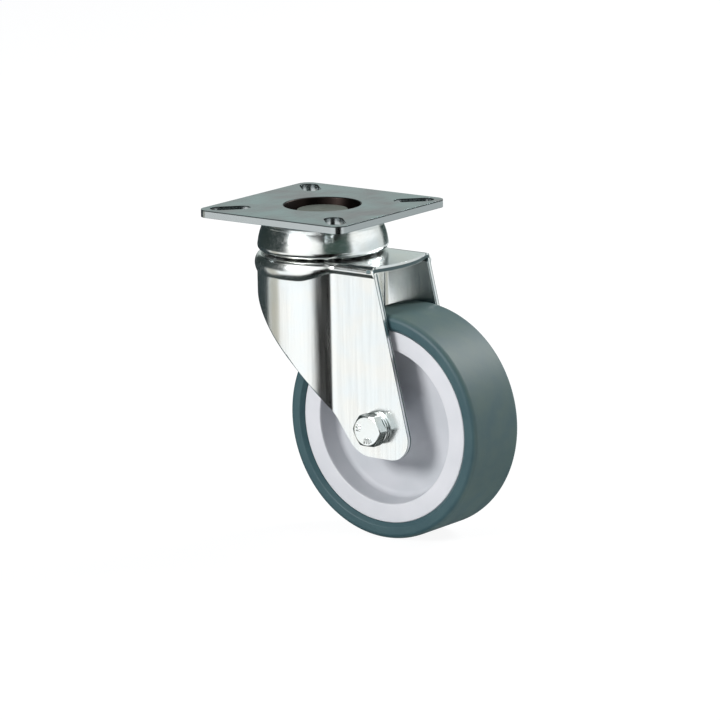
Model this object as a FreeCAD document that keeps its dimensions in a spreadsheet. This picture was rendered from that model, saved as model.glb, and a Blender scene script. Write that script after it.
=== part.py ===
import FreeCAD, Part
import math
import os
import Sketcher

# Swivel castor with a square top plate, a pressed fork and a 75 mm wheel.
# The origin is the middle of the plate's top face, +Z is up, the wheel trails towards +X and
# its axle runs along Y. Heights below the plate's top are negative. All sizes are in mm.

SIZES = {
    # top plate: pressed square sheet with diagonal slots and a drawn dish for the rivet's head
    "plate_side": 59.0, "plate_thick": 2.5, "plate_corner": 4.0, "plate_edge": 0.5,
    "slot_wide": 6.3, "slot_edge": 5.5, "slot_travel": 5.0,
    "dish_mouth": 13.2, "dish_lip": 1.2, "dish_deep": 5.4, "dish_corner": 1.0,
    # king pin: head in the dish, shoulder shank, thinner neck through the lower race, formed foot
    "pin_r": 5.5, "pin_head_r": 8.4, "pin_head_thick": 3.7, "pin_head_edge": 0.7,
    "pin_neck_r": 4.5, "pin_foot_r": 7.5, "pin_foot_thick": 2.0,
    # ball rings
    "upper_ball_r": 3.0, "upper_ring_r": 16.0, "upper_ring_drop": 10.6, "upper_count": 16,
    "lower_ball_r": 2.5, "lower_ring_r": 10.4, "lower_ring_drop": 15.9, "lower_count": 12,
    # pressed cup under the plate
    "cup_thick": 2.0, "cup_wall": 1.8, "cup_flange": 2.5, "cup_neck_r": 20.1, "cup_neck_drop": 6.6,
    "cup_lip_r": 21.6, "cup_lip_drop": 12.5, "cup_end_drop": 14.5,
    # fork: one pressed sheet
    "fork_thick": 2.0, "fork_drop": 15.4, "head_r": 22.1, "leg_out": 15.5, "shoulder": 2.2,
    "valley": 1.2, "rear_r": 34.3, "crown_foot_r": 19.2, "crown_hole_clear": 0.8,
    "heel_x": 46.8, "toe_x": 24.6, "bend_x": 1.8, "bend_drop": 48.1, "bend_to_x": 11.4,
    "bend_to_drop": 59.8, "bend_round": 104.0, "sole_drop": 9.9, "brow_drop": 20.5,
    "heel_round": 7.0, "toe_round": 10.3,
    # wheel and axle
    "wheel_r": 37.5, "wheel_wide": 25.0, "axle_x": 32.0, "axle_drop": 68.5,
    "tread_edge": 1.9, "tyre_thick": 5.2, "rim_inset": 1.3, "rim_ring": 6.2, "rim_draft": 0.85,
    "rim_key_deep": 1.3, "rim_key_half": 7.0, "rim_key_slope": 1.0,
    "web_half": 3.0, "web_round": 2.0, "hub_r": 9.0, "hub_round": 6.0,
    "tube_r": 4.0, "tube_wall": 0.8, "bush_wall": 1.5, "bush_long": 10.0,
    "bush_flange_r": 8.0, "bush_flange": 0.9,
    "bolt_r": 3.0, "bolt_hole_clear": 0.2, "hex_across": 10.0, "bolt_head": 4.0, "bolt_tip": 2.0,
    "bolt_chamfer": 0.6, "nut_hex": 4.4, "nut_high": 6.0, "nut_collar_r": 4.5,
    "insert_thick": 1.2, "insert_grip": 0.05, "washer_r": 5.5, "washer_thick": 1.2,
    # clearances
    "fit": 0.05, "ball_play": 0.04, "side_play": 0.2,
}

doc = FreeCAD.newDocument("swivel_castor")
sheet = doc.addObject("Spreadsheet::Sheet", "Sizes")
for row, (alias, number) in enumerate(SIZES.items(), start=1):
    sheet.set(f"A{row}", alias)
    sheet.set(f"B{row}", str(number))
    sheet.setAlias(f"B{row}", alias)
doc.recompute()


class Size:
    """A number together with the sheet formula that gives it, so one sum draws a shape and drives it."""

    def __init__(self, number, formula):
        self.number = number
        self.formula = formula

    def __add__(self, other):
        return joined(self, "+", other, self.number + plain(other))

    def __sub__(self, other):
        return joined(self, "-", other, self.number - plain(other))

    def __mul__(self, other):
        return joined(self, "*", other, self.number * plain(other))

    def __truediv__(self, other):
        return joined(self, "/", other, self.number / plain(other))

    def __neg__(self):
        return Size(-self.number, f"(-1 * {self.formula})")


def plain(size):
    return size.number if isinstance(size, Size) else float(size)


def text(size):
    return size.formula if isinstance(size, Size) else repr(float(size))


def joined(first, sign, second, number):
    return Size(number, f"({text(first)} {sign} {text(second)})")


def leg_of(hypotenuse, side):
    """The other short side of a right triangle."""
    number = math.sqrt(plain(hypotenuse) ** 2 - plain(side) ** 2)
    return Size(number, f"sqrt({text(hypotenuse)} ^ 2 - {text(side)} ^ 2)")


def of(alias):
    return Size(float(SIZES[alias]), f"Sizes.{alias}")


def polar(x, y, radius, degrees):
    """The point of a circle about x, y at an angle."""
    return x + radius * math.cos(math.radians(degrees)), y + radius * math.sin(math.radians(degrees))


# Sizes that follow from others
half_wheel = of("wheel_wide") / 2
rim_r = of("wheel_r") - of("tyre_thick")
leg_in = of("leg_out") - of("fork_thick")
fork_top = -of("fork_drop")
fork_under = fork_top - of("fork_thick")
dish_wall = of("dish_mouth") - of("dish_lip")
dish_out = dish_wall + of("plate_thick")
dish_under = -(of("dish_deep") + of("plate_thick"))
cup_top_r = dish_out + of("cup_flange")
upper_z = -of("upper_ring_drop")
lower_z = -of("lower_ring_drop")
upper_groove = of("upper_ball_r") + of("ball_play")
lower_groove = of("lower_ball_r") + of("ball_play")
crown_under = lower_z + lower_groove
crown_top = crown_under + of("fork_thick")
race_top = crown_under - of("lower_ball_r") / 2
race_under = lower_z - lower_groove - of("plate_thick") * 0.7
sole_z = -(of("axle_drop") + of("sole_drop"))
rim_side = half_wheel - of("rim_inset")
hub_end = leg_in - of("side_play") - of("bush_flange")
seat_y = of("leg_out") + of("washer_thick")


def bind(thing, prop, size):
    """Sets a property and keeps it on its formula."""
    setattr(thing, prop, plain(size))
    thing.setExpression(prop, text(size))


def make_body(name):
    body = doc.addObject("PartDesign::Body", name)
    body.Label = name
    return body


def make_sketch(body, name, role, lift=0.0):
    """A sketch on one of the body's own origin planes, moved along the plane's normal by lift."""
    sketch = body.newObject("Sketcher::SketchObject", name)
    plane = [f for f in body.Origin.OriginFeatures if f.Role == role][0]
    sketch.AttachmentSupport = (plane, [""])
    sketch.MapMode = "FlatFace"
    if isinstance(lift, Size):
        sketch.AttachmentOffset = FreeCAD.Placement(FreeCAD.Vector(0, 0, lift.number), FreeCAD.Rotation())
        sketch.setExpression("AttachmentOffset.Base.z", lift.formula)
    return sketch


def arc_between(start, end, radius):
    """The short arc from start to end, counter-clockwise for a positive radius."""
    first, second = (start, end) if radius > 0 else (end, start)
    chord = second - first
    bow = math.sqrt(max(radius ** 2 - (chord.Length / 2) ** 2, 0.0))
    side = FreeCAD.Vector(-chord.y, chord.x, 0).normalize()
    centre = (first + second) / 2 + side * bow
    angles = [math.atan2(p.y - centre.y, p.x - centre.x) for p in (first, second)]
    if angles[1] < angles[0]:
        angles[1] += 2 * math.pi
    circle = Part.Circle(centre, FreeCAD.Vector(0, 0, 1), abs(radius))
    return Part.ArcOfCircle(circle, angles[0], angles[1])


def draw_outline(sketch, points):
    """A closed outline. Each point is (x, y), or (x, y, radius) where an arc leads to it.

    Every corner is tied to the origin by its two distances and every arc has its radius.
    """
    spots = [FreeCAD.Vector(plain(p[0]), plain(p[1]), 0) for p in points]
    ends = []
    for index, point in enumerate(points):
        start, end = spots[index - 1], spots[index]
        if len(point) == 2:
            edge = sketch.addGeometry(Part.LineSegment(start, end), False)
            ends.append((edge, 1, 2))
        else:
            radius = plain(point[2])
            edge = sketch.addGeometry(arc_between(start, end, radius), False)
            ends.append((edge, 1, 2) if radius > 0 else (edge, 2, 1))
            datum = sketch.addConstraint(Sketcher.Constraint("Radius", edge, abs(radius)))
            sign = "" if radius > 0 else "-1 * "
            sketch.setExpression(f"Constraints[{datum}]", sign + text(point[2]))
    for index, point in enumerate(points):
        edge, _, tail = ends[index]
        following, head, _ = ends[(index + 1) % len(points)]
        sketch.addConstraint(Sketcher.Constraint("Coincident", edge, tail, following, head))
        for axis, kind, rest in ((0, "DistanceX", -2), (1, "DistanceY", -1)):
            place = point[axis]
            if isinstance(place, Size):
                limit = Sketcher.Constraint(kind, -1, 1, edge, tail, place.number)
                datum = sketch.addConstraint(limit)
                sketch.setExpression(f"Constraints[{datum}]", place.formula)
            elif place == 0:
                sketch.addConstraint(Sketcher.Constraint("PointOnObject", edge, tail, rest))
            else:
                raise ValueError(f"{sketch.Name}: a corner has a bare number {place}")
    return sketch


def draw_circle(sketch, x, y, radius):
    circle = Part.Circle(FreeCAD.Vector(plain(x), plain(y), 0), FreeCAD.Vector(0, 0, 1), plain(radius))
    edge = sketch.addGeometry(circle, False)
    datum = sketch.addConstraint(Sketcher.Constraint("Radius", edge, plain(radius)))
    sketch.setExpression(f"Constraints[{datum}]", text(radius))
    for kind, rest, place in (("DistanceX", -2, x), ("DistanceY", -1, y)):
        if isinstance(place, Size):
            datum = sketch.addConstraint(Sketcher.Constraint(kind, -1, 1, edge, 3, place.number))
            sketch.setExpression(f"Constraints[{datum}]", place.formula)
        else:
            sketch.addConstraint(Sketcher.Constraint("PointOnObject", edge, 3, rest))
    return sketch


def turned(body, name, role, points, kind="PartDesign::Revolution"):
    """An outline turned about the sketch's upright axis, added, or cut with PartDesign::Groove."""
    sketch = draw_outline(make_sketch(body, name + "_outline", role), points)
    feature = body.newObject(kind, name)
    feature.Profile = sketch
    feature.ReferenceAxis = (sketch, ["V_Axis"])
    feature.Angle = 360.0
    doc.recompute()
    return feature


def padded(body, name, sketch, length, midplane=False, downwards=False):
    feature = body.newObject("PartDesign::Pad", name)
    feature.Profile = sketch
    bind(feature, "Length", length)
    feature.Midplane = midplane
    feature.Reversed = downwards
    doc.recompute()
    return feature


def pocketed(body, name, sketch, midplane=False, upwards=False):
    """Cuts the sketch through everything on one side of its plane, or on both."""
    before = body.Shape.Volume
    feature = body.newObject("PartDesign::Pocket", name)
    feature.Profile = sketch
    feature.Type = 1
    feature.Midplane = midplane
    feature.Reversed = upwards
    doc.recompute()
    if not body.Shape.Volume < before - 1e-6:
        raise RuntimeError(f"{name} cut nothing")
    return feature


def rounded(body, name, test, radius):
    """Rounds the edges of the body's last feature that pass the test."""
    base = body.Tip
    edges = [f"Edge{n}" for n, edge in enumerate(base.Shape.Edges, start=1) if test(edge)]
    if not edges:
        raise RuntimeError(f"{name} found no edge")
    feature = body.newObject("PartDesign::Fillet", name)
    feature.Base = (base, edges)
    bind(feature, "Radius", radius)
    doc.recompute()
    return feature


def is_rim(radius, height, axis="z"):
    """A test for a round edge about the upright axis, or about the body's Y axis."""

    def test(edge):
        curve = edge.Curve
        if not isinstance(curve, Part.Circle) or abs(curve.Radius - plain(radius)) > 1e-4:
            return False
        return abs(getattr(curve.Center, axis) - plain(height)) < 1e-4

    return test


def at_axle(body, side=0.0):
    """Moves a body from the origin to the axle line."""
    body.Placement = FreeCAD.Placement(
        FreeCAD.Vector(SIZES["axle_x"], plain(side), -SIZES["axle_drop"]), FreeCAD.Rotation()
    )
    body.setExpression("Placement.Base.x", "Sizes.axle_x")
    body.setExpression("Placement.Base.z", "-Sizes.axle_drop")
    if isinstance(side, Size):
        body.setExpression("Placement.Base.y", side.formula)
    return body


def make_top_plate():
    """Flat square sheet, the dish drawn down in its middle, then the slots on its diagonals."""
    body = make_body("top_plate")
    half = of("plate_side") / 2
    square = [(half, -half), (half, half), (-half, half), (-half, -half)]
    sketch = draw_outline(make_sketch(body, "plate_square", "XY_Plane"), square)
    padded(body, "plate_sheet", sketch, of("plate_thick"), downwards=True)

    def upright(edge):
        return abs(edge.BoundBox.ZLength - SIZES["plate_thick"]) < 1e-6

    rounded(body, "plate_corners", upright, of("plate_corner"))
    rounded(body, "plate_edges", lambda edge: edge.BoundBox.ZLength < 1e-6, of("plate_edge"))

    under = -of("plate_thick")
    turn = of("dish_corner") + of("plate_thick")
    turned(body, "dish_bowl", "XZ_Plane", [
        (0, under / 2),
        (0, dish_under),
        (dish_out - turn, dish_under),
        (dish_out, dish_under + turn, turn),
        (dish_out, under / 2),
    ])
    turned(body, "dish_hollow", "XZ_Plane", [
        (0, 0),
        (0, -of("dish_deep")),
        (dish_wall - of("dish_corner"), -of("dish_deep")),
        (dish_wall, -of("dish_deep") + of("dish_corner"), of("dish_corner")),
        (dish_wall, -of("dish_lip")),
        (of("dish_mouth"), 0, -of("dish_lip")),
    ], kind="PartDesign::Groove")
    hole = draw_circle(make_sketch(body, "pin_hole_circle", "XY_Plane"), 0, 0, of("pin_r") + of("fit"))
    pocketed(body, "pin_hole", hole)

    slot = make_sketch(body, "slot_outline", "XY_Plane")
    slot.AttachmentOffset = FreeCAD.Placement(FreeCAD.Vector(), FreeCAD.Rotation(45, 0, 0))
    far = (half - of("slot_edge")) * math.sqrt(2)
    near = far - of("slot_travel") * math.sqrt(2)
    end_r = of("slot_wide") / 2
    draw_slot(slot, near, far, end_r)
    pocketed(body, "slot", slot)
    pattern = body.newObject("PartDesign::PolarPattern", "slots")
    pattern.Originals = [body.getObject("slot")]
    pattern.Axis = (body.getObject("slot_outline"), ["N_Axis"])
    pattern.Angle = 360.0
    pattern.Occurrences = 4
    body.Tip = pattern
    doc.recompute()
    return body


def draw_slot(sketch, near, far, end_r):
    """A slot along the sketch's own X, given by the middles of its two round ends."""
    middle, up = [FreeCAD.Vector(plain(x), 0, 0) for x in (near, far)], FreeCAD.Vector(0, 0, 1)
    quarter = math.pi / 2
    inner = sketch.addGeometry(
        Part.ArcOfCircle(Part.Circle(middle[0], up, plain(end_r)), quarter, 3 * quarter), False)
    outer = sketch.addGeometry(
        Part.ArcOfCircle(Part.Circle(middle[1], up, plain(end_r)), -quarter, quarter), False)
    drop = FreeCAD.Vector(0, plain(end_r), 0)
    below = sketch.addGeometry(Part.LineSegment(middle[0] - drop, middle[1] - drop), False)
    above = sketch.addGeometry(Part.LineSegment(middle[1] + drop, middle[0] + drop), False)
    for first, end, second, start in ((inner, 2, below, 1), (below, 2, outer, 1),
                                      (outer, 2, above, 1), (above, 2, inner, 1)):
        sketch.addConstraint(Sketcher.Constraint("Tangent", first, end, second, start))
    for edge, place in ((inner, near), (outer, far)):
        sketch.addConstraint(Sketcher.Constraint("PointOnObject", edge, 3, -1))
        datum = sketch.addConstraint(Sketcher.Constraint("DistanceX", -1, 1, edge, 3, plain(place)))
        sketch.setExpression(f"Constraints[{datum}]", place.formula)
    datum = sketch.addConstraint(Sketcher.Constraint("Radius", inner, plain(end_r)))
    sketch.setExpression(f"Constraints[{datum}]", end_r.formula)


def make_king_pin():
    """Rivet that holds the swivel together: the plate hangs under its head, the race on its foot."""
    body = make_body("king_pin")
    seat = -of("dish_deep")
    foot = race_under - of("pin_foot_thick")
    turned(body, "pin_turned", "XZ_Plane", [
        (0, seat + of("pin_head_thick")),
        (0, foot),
        (of("pin_foot_r") - of("pin_foot_thick"), foot),
        (of("pin_foot_r"), race_under, of("pin_foot_thick")),
        (of("pin_neck_r"), race_under),
        (of("pin_neck_r"), race_top),
        (of("pin_r"), race_top),
        (of("pin_r"), seat),
        (of("pin_head_r"), seat),
        (of("pin_head_r"), seat + of("pin_head_thick")),
    ])
    rounded(body, "pin_head_round", is_rim(of("pin_head_r"), seat + of("pin_head_thick")),
            of("pin_head_edge"))
    return body


def make_upper_race():
    """Pressed cup fixed under the plate; the balls run in the inside of its shoulder."""
    body = make_body("upper_race")
    under = -of("plate_thick")
    flange_under = under - of("cup_thick")
    inner_r = dish_out + of("fit")
    lip_in = of("cup_lip_r") - of("cup_wall")
    groove_out = of("upper_ring_r") + upper_groove
    groove_top = polar(of("upper_ring_r"), upper_z, upper_groove, 62)
    lip_round = of("cup_wall") / 2
    turned(body, "cup_turned", "XZ_Plane", [
        (inner_r, under),
        (inner_r, flange_under),
        (cup_top_r - of("cup_thick") * 0.3, flange_under),
        (*groove_top, -(of("cup_neck_drop") - of("plate_thick"))),
        (groove_out, upper_z, -upper_groove),
        (lip_in, -of("cup_end_drop")),
        (of("cup_lip_r") - lip_round, -of("cup_end_drop")),
        (of("cup_lip_r"), -of("cup_lip_drop"), of("cup_wall") * 1.1),
        (of("cup_neck_r"), -of("cup_neck_drop"), of("cup_lip_r")),
        (cup_top_r, under, of("cup_neck_drop") - of("plate_thick")),
    ])
    return body


def make_ball_ring(name, ball_r, ring_r, height, count):
    """A ring of equal balls; each ball's place is on a formula."""
    balls = []
    for number in range(count):
        ball = doc.addObject("Part::Sphere", f"{name}_{number + 1}")
        bind(ball, "Radius", ball_r)
        turn = f"{number} * 360 / {count}"
        ball.setExpression("Placement.Base.x", f"{ring_r.formula} * cos({turn})")
        ball.setExpression("Placement.Base.y", f"{ring_r.formula} * sin({turn})")
        ball.setExpression("Placement.Base.z", height.formula)
        balls.append(ball)
    ring = doc.addObject("Part::Compound", name)
    ring.Label = name
    ring.Links = balls
    doc.recompute()
    return ring


def make_fork():
    """One pressed sheet: flat top with a raised crown, round head with a skirt, two flat legs."""
    body = make_body("fork")
    sheet_in = of("head_r") - of("fork_thick")
    past = of("heel_x") + of("fork_thick")
    front = -(of("head_r") + of("fork_thick"))
    deep = of("axle_drop") + of("sole_drop") + of("fork_thick") - of("fork_drop")

    def plan(radius, side):
        """Round head and parallel legs, seen from above."""
        meet = leg_of(radius, side)
        return [(past, -side), (past, side), (meet, side), (-radius, 0, radius), (meet, -side, radius)]

    sketch = make_sketch(body, "fork_plan", "XY_Plane", fork_top)
    draw_outline(sketch, plan(of("head_r"), of("leg_out")))
    padded(body, "fork_blank", sketch, deep, downwards=True)
    meet_x = plain(leg_of(of("head_r"), of("leg_out")))

    def in_valley(edge):
        box = edge.BoundBox
        return box.ZLength > 1 and abs(box.XMin - meet_x) < 1e-4 and box.XLength < 1e-4

    rounded(body, "fork_valleys", in_valley, of("valley"))

    def on_top(edge):
        box = edge.BoundBox
        return abs(box.ZMin - fork_top.number) < 1e-4 and box.ZLength < 1e-4 and box.XMin < plain(past) - 1

    rounded(body, "fork_shoulder", on_top, of("shoulder"))

    sketch = make_sketch(body, "fork_inside_plan", "XY_Plane", fork_under)
    draw_outline(sketch, plan(sheet_in, leg_in))
    padded_cut(body, "fork_inside", sketch, deep)

    side = make_sketch(body, "fork_side", "XZ_Plane")
    rear_x = leg_of(of("rear_r"), of("leg_out") - of("shoulder"))
    above = -of("plate_thick")
    draw_outline(side, [
        (front, -of("brow_drop")),
        (front, above),
        (past + of("leg_out"), above),
        (past + of("leg_out"), sole_z - of("leg_out")),
        (front, sole_z - of("leg_out")),
        (front, -of("brow_drop") - of("plate_edge")),
        (of("bend_x"), -of("bend_drop")),
        (of("bend_to_x"), -of("bend_to_drop"), -of("bend_round")),
        (of("toe_x"), sole_z),
        (of("heel_x"), sole_z),
        (rear_x, fork_top),
        (rear_x, fork_top + of("plate_edge")),
        (front + of("plate_edge"), fork_top + of("plate_edge")),
        (front + of("plate_edge"), -of("brow_drop")),
    ])
    pocketed(body, "fork_trim", side, midplane=True)

    def at_corner(x, z):
        def test(edge):
            box = edge.BoundBox
            flat = box.XLength < 1e-4 and box.ZLength < 1e-4
            return flat and abs(box.XMin - plain(x)) < 1e-3 and abs(box.ZMin - plain(z)) < 1e-3
        return test

    rounded(body, "fork_heel", at_corner(of("heel_x"), sole_z), of("heel_round"))
    rounded(body, "fork_toe", at_corner(of("toe_x"), sole_z), of("toe_round"))

    flat_half = of("leg_out") - of("shoulder")
    rear = make_sketch(body, "fork_rear_plan", "XY_Plane", fork_top)
    draw_outline(rear, [
        (of("head_r"), -flat_half), (rear_x, -flat_half), (rear_x, flat_half, of("rear_r")),
        (of("head_r"), flat_half),
    ])
    padded(body, "fork_rear_edge", rear, of("fork_thick"), downwards=True)

    hole_r = of("pin_r") + of("crown_hole_clear")
    ring_r, lower_r = of("upper_ring_r"), of("lower_ring_r")
    groove_edge = leg_of(upper_groove, upper_z - crown_top)
    turned(body, "crown", "XZ_Plane", [
        (hole_r, crown_top),
        (hole_r, fork_under + of("fork_thick") / 2),
        (of("crown_foot_r"), fork_under + of("fork_thick") / 2),
        (of("crown_foot_r"), fork_top),
        (ring_r, upper_z - upper_groove),
        (ring_r - groove_edge, crown_top, -upper_groove),
    ])
    slope_end = polar(lower_r, lower_z, lower_groove, 0)
    turned(body, "crown_hollow", "XZ_Plane", [
        (0, crown_under),
        (0, fork_under - of("fork_thick")),
        (of("crown_foot_r") - of("fork_thick"), fork_under - of("fork_thick")),
        (of("crown_foot_r") - of("fork_thick"), fork_under),
        slope_end,
        (lower_r, crown_under, lower_groove),
    ], kind="PartDesign::Groove")

    holes = make_sketch(body, "axle_hole_circle", "XZ_Plane")
    draw_circle(holes, of("axle_x"), -of("axle_drop"), of("bolt_r") + of("bolt_hole_clear"))
    pocketed(body, "axle_holes", holes, midplane=True)
    return body


def padded_cut(body, name, sketch, length):
    """Cuts the sketch downwards to a depth."""
    before = body.Shape.Volume
    feature = body.newObject("PartDesign::Pocket", name)
    feature.Profile = sketch
    bind(feature, "Length", length)
    doc.recompute()
    if not body.Shape.Volume < before - 1e-6:
        raise RuntimeError(f"{name} cut nothing")
    return feature


def make_lower_race():
    """Ring on the pin's neck, held by the pin's foot; the lower balls run in its outer corner."""
    body = make_body("lower_race")
    ring_r = of("lower_ring_r")
    groove_high = polar(ring_r, lower_z, lower_groove, 190)
    turned(body, "race_turned", "XZ_Plane", [
        (of("pin_neck_r") + of("fit"), race_top),
        (of("pin_neck_r") + of("fit"), race_under),
        (ring_r + of("lower_ball_r") / 2, race_under),
        (ring_r + of("lower_ball_r") / 2, lower_z - lower_groove),
        (ring_r, lower_z - lower_groove),
        (*groove_high, -lower_groove),
        (groove_high[0], race_top),
    ])
    return body


def draw_hexagon(sketch, across):
    """A hexagon with a corner on the sketch's X axis, by its size across the flats."""
    corner = across / math.sqrt(3)
    points = []
    for number in range(6):
        turn = math.radians(60 * number)
        sideways = corner * math.cos(turn)
        upwards = corner * math.sin(turn) if number % 3 else 0
        points.append((sideways, upwards))
    return draw_outline(sketch, points)


def make_axle_bolt():
    """Hexagon head bolt along Y: head on the near leg, thread through the nut on the far leg."""
    body = at_axle(make_body("axle_bolt"))
    sketch = draw_hexagon(make_sketch(body, "head_hexagon", "XZ_Plane", seat_y), of("hex_across"))
    padded(body, "head_blank", sketch, of("bolt_head"))
    chamfer_hexagon(body, "head_chamfer", of("hex_across"), -(seat_y + of("bolt_head")), 1)
    end = seat_y + of("nut_high") + of("bolt_tip")
    turned(body, "shank", "XY_Plane", [
        (0, -(seat_y + of("bolt_head") / 2)),
        (of("bolt_r"), -(seat_y + of("bolt_head") / 2)),
        (of("bolt_r"), end - of("bolt_chamfer")),
        (of("bolt_r") - of("bolt_chamfer"), end),
        (0, end),
    ])
    return body


def chamfer_hexagon(body, name, across, face_y, inwards):
    """Turns a 30 degree chamfer on the hexagon's outer face, whose body lies towards inwards times Y."""
    circle = across * 0.485
    reach = across * 0.2
    rise = reach * math.tan(math.radians(30)) * inwards
    out = reach * -inwards
    turned(body, name, "XY_Plane", [
        (circle, face_y),
        (circle + reach, face_y + rise),
        (circle + reach, face_y + out),
        (circle, face_y + out),
    ], kind="PartDesign::Groove")


def make_lock_nut():
    """Hexagon nut with a round collar that holds the nylon ring, on the far leg."""
    body = at_axle(make_body("lock_nut"))
    sketch = draw_hexagon(make_sketch(body, "nut_hexagon", "XZ_Plane", -seat_y), of("hex_across"))
    padded(body, "nut_blank", sketch, of("nut_hex"), downwards=True)
    chamfer_hexagon(body, "nut_chamfer", of("hex_across"), seat_y + of("nut_hex"), -1)
    top = seat_y + of("nut_high")
    turned(body, "nut_collar", "XY_Plane", [
        (0, seat_y + of("nut_hex") / 2),
        (of("nut_collar_r"), seat_y + of("nut_hex") / 2),
        (of("nut_collar_r"), top - of("bolt_chamfer")),
        (of("nut_collar_r") - of("bolt_chamfer"), top, of("bolt_chamfer")),
        (0, top),
    ])
    pocket_r = of("nut_collar_r") - of("bolt_chamfer") * 1.5
    turned(body, "nut_bore", "XY_Plane", [
        (0, seat_y - of("fork_thick")),
        (of("bolt_r") + of("fit"), seat_y - of("fork_thick")),
        (of("bolt_r") + of("fit"), top - of("insert_thick") - of("fit")),
        (pocket_r, top - of("insert_thick") - of("fit")),
        (pocket_r, top + of("fork_thick")),
        (0, top + of("fork_thick")),
    ], kind="PartDesign::Groove")
    return body


def make_nut_insert():
    """Nylon ring in the nut's collar."""
    body = at_axle(make_body("nut_insert"))
    top = seat_y + of("nut_high")
    outer = of("nut_collar_r") - of("bolt_chamfer") * 1.5 - of("fit")
    low = top - of("insert_thick") - of("fit")
    turned(body, "insert_turned", "XY_Plane", [
        (of("bolt_r") + of("insert_grip"), low),
        (outer, low),
        (outer, top - of("fit") * 2),
        (of("bolt_r") + of("insert_grip"), top - of("fit") * 2),
    ])
    return body


def make_washer(name, side):
    """Plain washer under the bolt's head or the nut."""
    body = at_axle(make_body(name))
    hole_r = of("bolt_r") + of("bolt_hole_clear")
    turned(body, name + "_turned", "XY_Plane", [
        (hole_r, of("leg_out") * side), (of("washer_r"), of("leg_out") * side),
        (of("washer_r"), seat_y * side), (hole_r, seat_y * side),
    ])
    return body


def make_axle_tube():
    """Steel tube clamped between the legs."""
    body = at_axle(make_body("axle_tube"))
    inner = of("tube_r") - of("tube_wall")
    turned(body, "tube_turned", "XY_Plane", [
        (inner, -leg_in), (of("tube_r"), -leg_in), (of("tube_r"), leg_in), (inner, leg_in),
    ])
    return body


def make_hub_bushes():
    """Two flanged plain bushes, one from each end of the hub."""
    bushes = []
    inner = of("tube_r") + of("fit")
    outer = inner + of("bush_wall")
    for name, side in (("near_bush", -1), ("far_bush", 1)):
        body = at_axle(make_body(name))
        end = (hub_end + of("bush_flange")) * side
        shoulder = hub_end * side
        tip = shoulder - of("bush_long") * side
        turned(body, name + "_turned", "XY_Plane", [
            (inner, end), (of("bush_flange_r"), end), (of("bush_flange_r"), shoulder),
            (outer, shoulder), (outer, tip), (inner, tip),
        ])
        bushes.append(body)
    pair = doc.addObject("Part::Compound", "hub_bushes")
    pair.Label = "hub_bushes"
    pair.Links = bushes
    doc.recompute()
    return pair


def rim_seat(sign):
    """The rim's outer outline from one side to the other, with the key that locks the tyre."""
    key_low = rim_r - of("rim_key_deep")
    key_in = of("rim_key_half")
    key_out = of("rim_key_half") + of("rim_key_slope")
    return [
        (rim_r, rim_side * sign),
        (rim_r, key_out * sign),
        (key_low, key_in * sign),
        (key_low, key_in * -sign),
        (rim_r, key_out * -sign),
        (rim_r, rim_side * -sign),
    ]


def make_wheel_centre():
    """One moulding: rim with a keyed seat, deep step wall, thin dished web, hub."""
    body = at_axle(make_body("wheel_centre"))
    ring_in = rim_r - of("rim_ring")
    bore = of("tube_r") + of("fit") + of("bush_wall") + of("fit")
    foot = of("web_half") + of("web_round")
    wall_foot = ring_in - of("rim_draft")

    near = [
        (ring_in, -rim_side),
        (wall_foot, -foot),
        (wall_foot - of("web_round"), -of("web_half"), of("web_round")),
        (of("hub_r") + of("hub_round"), -of("web_half")),
        (of("hub_r"), -(of("web_half") + of("hub_round")), of("hub_round")),
        (of("hub_r"), -hub_end),
        (bore, -hub_end),
    ]
    turned(body, "centre_turned", "XY_Plane", rim_seat(1) + near + mirrored(near))
    return body


def mirrored(points):
    """The same run of points on the other side of the sketch's X axis, in the opposite order."""
    turned_round = []
    for index in range(len(points) - 1, -1, -1):
        x, y = points[index][0], -points[index][1]
        after = points[index + 1] if index + 1 < len(points) else ()
        turned_round.append((x, y, after[2]) if len(after) == 3 else (x, y))
    return turned_round


def make_tyre():
    """Rubber ring moulded over the rim's keyed seat."""
    body = at_axle(make_body("tyre"))
    tread = of("wheel_r") - of("tread_edge")
    flat = half_wheel - of("tread_edge")
    turned(body, "tyre_turned", "XY_Plane", rim_seat(1) + [
        (rim_r + of("rim_inset"), -half_wheel),
        (tread, -half_wheel),
        (of("wheel_r"), -flat, of("tread_edge")),
        (of("wheel_r"), flat),
        (tread, half_wheel, of("tread_edge")),
        (rim_r + of("rim_inset"), half_wheel),
    ])
    return body


nodes = [
    make_top_plate(),
    make_king_pin(),
    make_upper_race(),
    make_ball_ring("upper_balls", of("upper_ball_r"), of("upper_ring_r"), upper_z, SIZES["upper_count"]),
    make_fork(),
    make_ball_ring("lower_balls", of("lower_ball_r"), of("lower_ring_r"), lower_z, SIZES["lower_count"]),
    make_lower_race(),
    make_axle_bolt(),
    make_washer("bolt_washer", -1),
    make_axle_tube(),
    make_washer("nut_washer", 1),
    make_lock_nut(),
    make_nut_insert(),
    make_hub_bushes(),
    make_wheel_centre(),
    make_tyre(),
]
doc.recompute()

for thing in doc.Objects:
    if "Invalid" in thing.State or "Error" in thing.State:
        raise RuntimeError(f"{thing.Name} is {thing.State}")
for node in nodes:
    if node.Shape.isNull() or not node.Shape.isValid():
        raise RuntimeError(f"{node.Label} has a bad shape")

os.makedirs("parts", exist_ok=True)
for node in nodes:
    node.Shape.exportStep(f"parts/{node.Label}.step")
    print(f"{node.Label}: {len(node.Shape.Solids)} solids, {node.Shape.Volume:.1f} mm3")
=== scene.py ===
import math

import bmesh
import bpy
import numpy as np
from mathutils import Matrix
from mathutils.geometry import tessellate_polygon


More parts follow.
